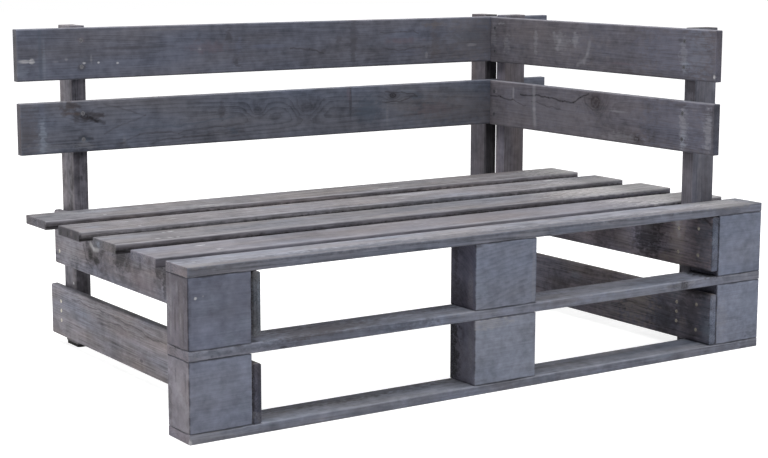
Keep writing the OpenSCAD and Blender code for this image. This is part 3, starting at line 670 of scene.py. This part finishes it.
wood("apron_right_upper", "y", SIDE, 47.9, **RIGHT_APRON, face_light_x=(1.11, 1.04, 1.12),
     face_light_y=(0.63, 0.74, 0.92),
     marks=[((0, 18, 46), (6, 26, 90), DEEP, 0.5), ((0, 46, 46), (6, 28, 90), DARK, 0.35),
            ((0, 84, 46), (6, 24, 90), TAN, 0.6), ((0, 84, 72), (6, 9, 14), PALE, 0.5),
            ((0, 80, 56), (6, 8, 9), PALE, 0.45), ((0, 158, 50), (6, 52, 90), BLACK, 0.8),
            ((0, 158, 58), (6, 16, 14), PALE, 0.25), ((0, 222, 30), (6, 34, 40), TAN, 0.3),
            ((0, 280, 44), (6, 44, 90), DARK, 0.5), ((0, 262, 70), (5, 14, 8), PALE, 0.3),
            ((0, 345, 40), (6, 40, 90), TAN, 0.15), ((0, 430, 40), (6, 60, 90), DARK, 0.3),
            ((7, 0, 55), (10, 6, 20), MIST, 0.35), ((0, 112, 9), (6, 18, 14), TAN, 0.5),
            ((0, 292, 10), (6, 28, 18), BLACK, 0.3), ((0, 335, 8), (6, 26, 18), DARK, 0.35)],
     lines=[(((0, 190, 34), (0, 150, 30), (0, 110, 33)), 2, BLACK, 0.5),
            (((0, 180, 22), (0, 140, 20), (0, 90, 24)), 2, BLACK, 0.5),
            (((0, 40, 88), (0, 24, 92), (0, 4, 80)), 4, BLACK, 0.6)])
# The black mark along the top near the front is a painted shadow
wood("apron_right_lower", "y", SIDE, 51.0, **RIGHT_APRON, face_light_x=(0.81, 0.8, 0.89),
     face_light_y=(0.96, 1.1, 1.3),
     marks=[((0, 12, 44), (6, 18, 90), DEEP, 0.5), ((0, 42, 44), (6, 24, 90), DARK, 0.4),
            ((0, 88, 78), (6, 24, 18), MIST, 0.35), ((0, 110, 30), (6, 34, 60), BLACK, 0.4),
            ((0, 180, 50), (6, 60, 60), TAN, 0.65), ((0, 250, 40), (6, 50, 60), TAN, 0.3),
            ((0, 330, 50), (6, 40, 60), DARK, 0.3), ((0, 350, 66), (6, 18, 10), MIST, 0.3),
            ((0, 40, 86), (6, 44, 14), BLACK, 0.5), ((0, 6, 26), (6, 14, 34), MIST, 0.3),
            ((0, 400, 36), (6, 50, 40), BLACK, 0.35), ((0, 64, 28), (6, 14, 16), TAN, 0.4),
            ((0, 360, 80), (6, 56, 14), TAN, 0.25), ((0, 67, 56), (6, 18, 22), BLACK, 0.45)],
     lines=[(((0, 250, 30), (0, 200, 42), (0, 150, 40)), 2, DARK, 0.5),
            (((0, 230, 50), (0, 190, 60), (0, 140, 58)), 2, DARK, 0.5)])

# Posts
STUD = dict(rings=0.16, amounts=(0.6, 0.9, 0.9), face_light_z=(0.8, 0.77, 0.75))
# The black mark low on the front face is painted shade below the seat
wood("post_back_left", "z", POST, 61.3, rings=0.2, amounts=(1.5, 1.3, 1.9),
     face_light_z=(0.95, 0.92, 0.88), face_light_x=(1.25, 1.21, 1.19), face_light_y=(0.95, 0.94, 0.98),
     marks=[((14, 0, 90), (40, 8, 130), BLACK, 0.5), ((8, 0, 300), (5, 8, 70), DARK, 0.4),
            ((24, 0, 130), (5, 8, 90), PALE, 0.35), ((0, 24, 445), (5, 50, 30), DARK, 0.4),
            ((22, 0, 330), (5, 8, 60), PALE, 0.2), ((0, 12, 106), (4, 3.5, 3.5), BRIGHT, 0.9),
            ((27, 0, 294), (16, 8, 24), BLACK, 0.6)])
# The black mark over the front face is painted shade in the narrow gap behind the boards
wood("post_back_corner", "z", POST, 64.0, **STUD, face_light_x=(0.76, 0.73, 0.75),
     marks=[((13, 0, 270), (80, 5, 900), BLACK, 0.75)])
wood("post_side_rear", "z", POST, 66.7, **STUD, face_light_x=(1.29, 1.26, 1.36),
     face_light_y=(1.05, 1.01, 1.03),
     marks=[((38, 0, 330), (10, 8, 200), WARM, 0.25), ((0, 10, 254), (6, 12, 34), DARK, 0.3)])
# The black mark high on the side face is painted shade under the upper board
wood("post_side_front", "z", POST, 69.4, **STUD, face_light_x=(0.93, 0.92, 0.96),
     face_light_y=(1.09, 1.15, 1.26),
     marks=[((24, 13, 542), (60, 40, 5), BLACK, 0.5), ((0, 13, 445), (6, 30, 34), BLACK, 0.4),
            ((16, 0, 290), (6, 8, 160), PALE, 0.25), ((30, 0, 290), (5, 8, 160), DARK, 0.25)])

# Boards of the back and of the side
REST = dict(amounts=(0.35, 0.7, 0.9), face_light_z=(1.45, 1.40, 1.28))
wood("back_board_upper", "x", BACK, 81.9, **REST, rings=0.16, face_light_x=(0.84, 0.78, 0.69),
     face_light_y=(1.01, 1.01, 1.02),
     marks=[((8, 0, 16), (16, 7, 16), MIST, 0.25), ((41, 0, 43), (4.5, 7, 80), DEEP, 0.5),
            ((48, 0, 30), (4, 7, 50), MIST, 0.3), ((14, 0, 33), (17, 7, 4), BRIGHT, 0.55),
            ((26, 0, 33), (6, 7, 6), BRIGHT, 0.4), ((115, 0, 65), (8, 7, 8), ROSE, 0.6),
            ((114, 0, 20), (10, 7, 8), DARK, 0.6), ((119, 0, 27), (4, 7, 2.5), BRIGHT, 0.5),
            ((132, 0, 33), (3, 7, 9), PALE, 0.4), ((145, 0, 27), (3, 7, 2.5), BRIGHT, 0.6),
            ((180, 0, 25), (3.5, 7, 2.5), BRIGHT, 0.6), ((87, 0, 34), (4, 7, 3), PALE, 0.5),
            ((68, 0, 31), (8, 7, 3), PALE, 0.3), ((200, 0, 50), (70, 7, 4), DARK, 0.6),
            ((271, 0, 79), (50, 7, 2.5), PALE, 0.4), ((354, 0, 46), (54, 7, 14), ROSE, 0.45),
            ((336, 0, 44), (5, 7, 3), PALE, 0.6), ((394, 0, 64), (9, 7, 15), DARK, 0.6),
            ((415, 0, 45), (10, 7, 16), BLUE, 0.6), ((408, 0, 18), (9, 7, 14), DARK, 0.6),
            ((335, 0, 64), (8, 7, 6), DARK, 0.35), ((470, 0, 44), (50, 7, 5), BLUE, 0.6),
            ((590, 0, 32), (9, 7, 5), DARK, 0.6), ((622, 0, 52), (9, 7, 12), DARK, 0.45),
            ((655, 0, 43), (9, 7, 90), DARK, 0.5), ((764, 0, 46), (54, 7, 7), ROSE, 0.6),
            ((780, 0, 24), (50, 7, 12), BLUE, 0.4), ((838, 0, 42), (12, 7, 60), BROWN, 0.45),
            ((836, 0, 74), (30, 7, 7), WARM, 0.8), ((819, 0, 16), (5, 7, 8), PALE, 0.4),
            ((935, 0, 45), (84, 7, 70), WARM, 0.55), ((915, 0, 50), (50, 7, 14), DEEP, 0.35),
            ((925, 0, 33), (16, 7, 4), PALE, 0.6)] + BACK_LOW_EDGE,
     lines=[(((520, 0, 39), (560, 0, 37), (590, 0, 28)), 2.4, DARK, 0.7),
            (((715, 0, 60), (760, 0, 64), (800, 0, 58)), 2, DARK, 0.5),
            (((720, 0, 32), (770, 0, 28), (815, 0, 34)), 2, DARK, 0.5)])
wood("back_board_lower", "x", BACK, 83.7, **REST, rings=0.26, pith=(0.0, -0.03, 0.03), ring=0.0055,
     face_light_x=(0.82, 0.72, 0.65), face_light_y=(1.1, 1.11, 1.1),
     knots=[((114, 0, 60), 7, 0.9), ((550, 0, 53), 12, 0.5), ((448, 0, 53), 8, 0.4),
            ((739, 0, 66), 6, 0.9)],
     marks=[((10, 0, 43), (28, 7, 70), BROWN, 0.45), ((39, 0, 33), (8, 7, 44), MIST, 0.8),
            ((39, 0, 72), (7, 7, 20), BLUE, 0.6), ((88, 0, 78), (20, 7, 12), BROWN, 0.9),
            ((76, 0, 66), (8, 7, 8), BROWN, 0.5), ((99, 0, 62), (8, 7, 15), DARK, 0.8),
            ((134, 0, 58), (19, 7, 10), DARK, 0.85), ((114, 0, 56), (9, 7, 7), DARK, 0.8),
            ((115, 0, 21), (14, 7, 6), DEEP, 0.8), ((114, 0, 11), (26, 7, 8), PALE, 0.3),
            ((187, 0, 13), (5, 7, 14), PALE, 0.25), ((375, 0, 56), (9, 7, 18), DARK, 0.6),
            ((398, 0, 18), (14, 7, 8), DEEP, 0.7), ((388, 0, 24), (6, 7, 5), BLUE, 0.4),
            ((645, 0, 60), (4, 7, 50), DARK, 0.75), ((640, 0, 74), (6, 7, 18), ROSE, 0.5),
            ((687, 0, 42), (44, 7, 34), DEEP, 0.7), ((727, 0, 30), (4, 7, 30), PALE, 0.2),
            ((795, 0, 62), (22, 7, 9), DEEP, 0.7), ((770, 0, 72), (30, 7, 5), MIST, 0.35),
            ((920, 0, 34), (200, 7, 44), WARM, 0.5), ((830, 0, 36), (60, 7, 14), ROSE, 0.35),
            ((915, 0, 70), (80, 7, 14), DEEP, 0.35), ((67, 0, 75), (34, 7, 14), DARK, 0.3),
            ((185, 0, 6), (26, 7, 9), DARK, 0.45), ((45, 0, 10), (56, 7, 10), PALE, 0.2)]
     + BACK_LOW_EDGE,
     lines=[(((120, 0, 64), (148, 0, 60)), 5, DARK, 0.7),
            (((120, 0, 56), (150, 0, 48)), 5, BLACK, 0.55),
            (((124, 0, 58), (138, 0, 50)), 3.5, BLACK, 0.6),
            (((106, 0, 74), (84, 0, 84)), 5, DARK, 0.7),
            (((104, 0, 62), (84, 0, 66)), 4, BROWN, 0.8),
            (((104, 0, 22), (128, 0, 22)), 4, BLACK, 0.5),
            (((150, 0, 78), (227, 0, 56), (150, 0, 30)), 2.4, DARK, 0.35),
            (((180, 0, 8), (215, 0, 26), (290, 0, 22), (420, 0, 30)), 2.4, DARK, 0.4),
            (((240, 0, 8), (300, 0, 14), (420, 0, 18)), 2, DARK, 0.4),
            (((200, 0, 34), (300, 0, 34), (400, 0, 44)), 2, DEEP, 0.5),
            (((722, 0, 74), (760, 0, 72), (795, 0, 61), (760, 0, 56), (722, 0, 54)), 2, DARK, 0.6)])
# The pale mark on the side face near the back end is painted light that lifts the shade in the
# corner by the back board
wood("side_board_upper", "y", BACK, 87.1, **REST, rings=0.12, face_light_x=(0.9, 0.82, 0.77),
     face_light_y=(0.89, 0.82, 0.82),
     marks=[((0, 430, 45), (7, 190, 60), WARM, 0.4), ((0, 90, 45), (7, 130, 70), BLUE, 0.4),
            ((0, 472, 46), (7, 7, 34), PALE, 0.3), ((0, 578, 76), (7, 12, 6), PALE, 0.35),
            ((0, 560, 40), (7, 14, 24), PALE, 0.2), ((0, 400, 48), (7, 34, 22), PALE, 0.22),
            ((0, 358, 54), (7, 14, 16), PALE, 0.35), ((0, 76, 40), (7, 12, 36), PALE, 0.3),
            ((0, 70, 22), (7, 12, 12), MIST, 0.4), ((0, 40, 46), (7, 40, 60), MIST, 0.15),
            ((0, 84, 66), (7, 9, 4), DARK, 0.7), ((0, 2, 9), (7, 3, 5), BRIGHT, 0.6),
            ((0, 230, 18), (7, 50, 3), ROSE, 0.4), ((0, 602, 55), (7, 14, 30), PALE, 0.25),
            ((0, 115, 4), (7, 60, 12), DARK, 0.4)] + SIDE_LOW_EDGE,
     lines=[(((0, 318, 50), (0, 324, 30), (0, 334, 16), (0, 350, 12)), 6, PALE, 0.25),
            (((0, 420, 62), (0, 402, 50), (0, 410, 36)), 6, PALE, 0.25)])
wood("side_board_lower", "y", BACK, 91.3, **REST, rings=0.16, face_light_x=(1.04, 0.94, 0.88),
     face_light_y=(0.69, 0.67, 0.68),
     knots=[((0, 300, 66), 14, 0.85), ((0, 187, 10), 6, 0.9)],
     marks=[((0, 430, 45), (7, 200, 60), WARM, 0.4), ((0, 90, 43), (7, 120, 70), BLUE, 0.4),
            ((0, 71, 38), (7, 13, 54), PALE, 0.5), ((0, 12, 36), (7, 13, 50), PALE, 0.5),
            ((0, 71, 20), (7, 8, 20), MIST, 0.4), ((0, 1, 43), (7, 5, 80), DARK, 0.5),
            ((0, 86, 78), (7, 14, 3), DARK, 0.6), ((0, 235, 55), (7, 34, 2.5), PALE, 0.35),
            ((0, 592, 66), (7, 5, 5), PALE, 0.4), ((0, 610, 60), (7, 8, 40), DARK, 0.4),
            ((0, 228, 9), (7, 60, 12), PALE, 0.25), ((0, 598, 32), (7, 14, 20), PALE, 0.2)]
     + SIDE_LOW_EDGE,
     lines=[(((0, 612, 59), (0, 578, 56), (0, 541, 51)), 2.4, BLACK, 0.6),
            (((0, 541, 51), (0, 500, 46)), 1.6, DARK, 0.6),
            (((0, 516, 66), (0, 471, 66), (0, 432, 66), (0, 391, 60), (0, 360, 63), (0, 341, 71),
               (0, 318, 79)), 2.6, BLACK, 0.75),
            (((0, 482, 55), (0, 441, 50), (0, 397, 46)), 1.8, DARK, 0.6),
            (((0, 330, 72), (0, 326, 60), (0, 306, 52), (0, 284, 56), (0, 276, 68)), 2.2, DARK, 0.6),
            (((0, 538, 72), (0, 538, 56)), 4, PALE, 0.6),
            (((0, 476, 84), (0, 474, 40), (0, 471, 10)), 7, PALE, 0.4)])


def steel(name, pale, dull, metallic):
    """Steel stained with the wood in patches, and darker on the right side of the bench."""
    made, t, shader = material(name)
    place = t.node("TexCoord").outputs["Object"]
    dirt = t.noise(place, (420, 420, 420), 3.0, 0.6)
    right = t.node("SeparateXYZ", place).outputs["X"]
    darker_parts = t.math("ADD", t.step(dirt, 0.4, 0.75), t.step(right, 0.25, 0.35, 0.0, 0.7), clamp=True)
    t.feed(shader.inputs["Base Color"], t.mix(darker_parts, pale, dull))
    t.feed(shader.inputs["Roughness"], t.math("MULTIPLY_ADD", dirt, 0.4, 0.3))
    shader.inputs["Metallic"].default_value = metallic
    return made


def plastic():
    """Black plastic with a little dust on it."""
    made, t, shader = material("black_plastic")
    place = t.node("TexCoord").outputs["Object"]
    grit = t.noise(place, (1500, 1500, 1500), 2.0)
    dust = t.noise(place, (60, 60, 60), 3.0)
    tone = t.mix(t.step(dust, 0.45, 0.8), (0.012, 0.012, 0.013, 1), (0.03, 0.029, 0.028, 1))
    t.feed(shader.inputs["Base Color"], tone)
    t.feed(shader.inputs["Roughness"], t.math("MULTIPLY_ADD", dust, 0.3, 0.5))
    shader.inputs["Specular IOR Level"].default_value = MATT
    add_bump(t, shader, grit, strength=0.3, distance=0.0002)
    return made


black = plastic()
stained_nails = steel("stained_nails", (0.20, 0.20, 0.21, 1), (0.13, 0.13, 0.14, 1), 0.15)
bare_nails = steel("bare_nails", (0.58, 0.54, 0.46, 1), (0.20, 0.18, 0.15, 1), 0.3)
stained_screws = steel("stained_screws", (0.14, 0.14, 0.155, 1), (0.06, 0.06, 0.07, 1), 0.3)
for name, obj in nodes.items():
    if name.startswith("foot_pad"):
        dress(obj, black)
    elif name == "slat_nails":
        dress(obj, stained_nails)
    elif name == "apron_nails":
        dress(obj, bare_nails)
    elif name.endswith("screws"):
        dress(obj, stained_screws)


def soft_box(name, place, aim, size, power):
    """A large soft lamp that points from its place at its aim."""
    data = bpy.data.lights.new(name, "AREA")
    data.shape = "RECTANGLE"
    data.size, data.size_y = size
    data.energy = power
    lamp = bpy.data.objects.new(name, data)
    lamp.location = place
    lamp.rotation_euler = (Vector(aim) - Vector(place)).to_track_quat("-Z", "Y").to_euler()
    scene.collection.objects.link(lamp)


soft_box("top_light", (-0.5, -0.3, 3.6), (0, 0, 0.2), (3.6, 3.0), 216)
soft_box("left_light", (-4.2, 1.0, 1.8), (-0.3, 0, 0.3), (2.6, 2.2), 80)
soft_box("right_light", (3.6, -3.2, 1.8), (0, 0, 0.3), (2.6, 2.2), 50)
soft_box("front_light", (0.0, -3.0, 3.4), (0, 0, 0.2), (3.0, 2.0), 32)


def grey(level):
    return level, level, level, 1


WHITE = grey(1)
NO_LIGHT = grey(0)
# Light that the world casts on the bench
FILL = grey(0.115)
# Glow of the floor next to the bench, low enough to show the shadow, and how far it reaches
NEAR_GLOW = grey(0.77)
GLOW_NEAR, GLOW_FAR = 1.2, 5.0
FLOOR_REACH = 14.0


def sees_background(t):
    """1 for the rays that see the background white: camera, glossy and transmission rays."""
    rays = t.node("LightPath").outputs
    either = t.math("MAXIMUM", rays["Is Camera Ray"], rays["Is Glossy Ray"])
    return t.math("MAXIMUM", either, rays["Is Transmission Ray"])


def light_world():
    """A world that looks white and lights the bench evenly."""
    world = bpy.data.worlds.new("studio")
    world.use_nodes = True
    scene.world = world
    world.node_tree.nodes.clear()
    t = Tree(world.node_tree)
    sky = t.node("Background", t.mix(sees_background(t), FILL, WHITE), 1.0)
    out = world.node_tree.nodes.new("ShaderNodeOutputWorld")
    t.feed(out.inputs["Surface"], sky.outputs[0])


def pale_floor():
    """A floor that looks white and still shows the shadow of the bench."""
    mesh = bpy.data.meshes.new("floor")
    far = FLOOR_REACH
    corners = [(-far, -far, 0), (far, -far, 0), (far, far, 0), (-far, far, 0)]
    mesh.from_pydata(corners, [], [(0, 1, 2, 3)])
    made, t, shader = material("pale_floor")
    shader.inputs["Base Color"].default_value = grey(0.55)
    shader.inputs["Roughness"].default_value = 0.9
    shader.inputs["Specular IOR Level"].default_value = 0.1
    shader.inputs["Emission Strength"].default_value = 1.0
    distance = t.vector("LENGTH", t.node("TexCoord").outputs["Object"])
    glow = t.mix(t.step(distance, GLOW_NEAR, GLOW_FAR), NEAR_GLOW, WHITE)
    t.feed(shader.inputs["Emission Color"], t.mix(sees_background(t), NO_LIGHT, glow))
    made_floor = bpy.data.objects.new("floor", mesh)
    scene.collection.objects.link(made_floor)
    dress(made_floor, made)
    return made_floor


light_world()
floor = pale_floor()
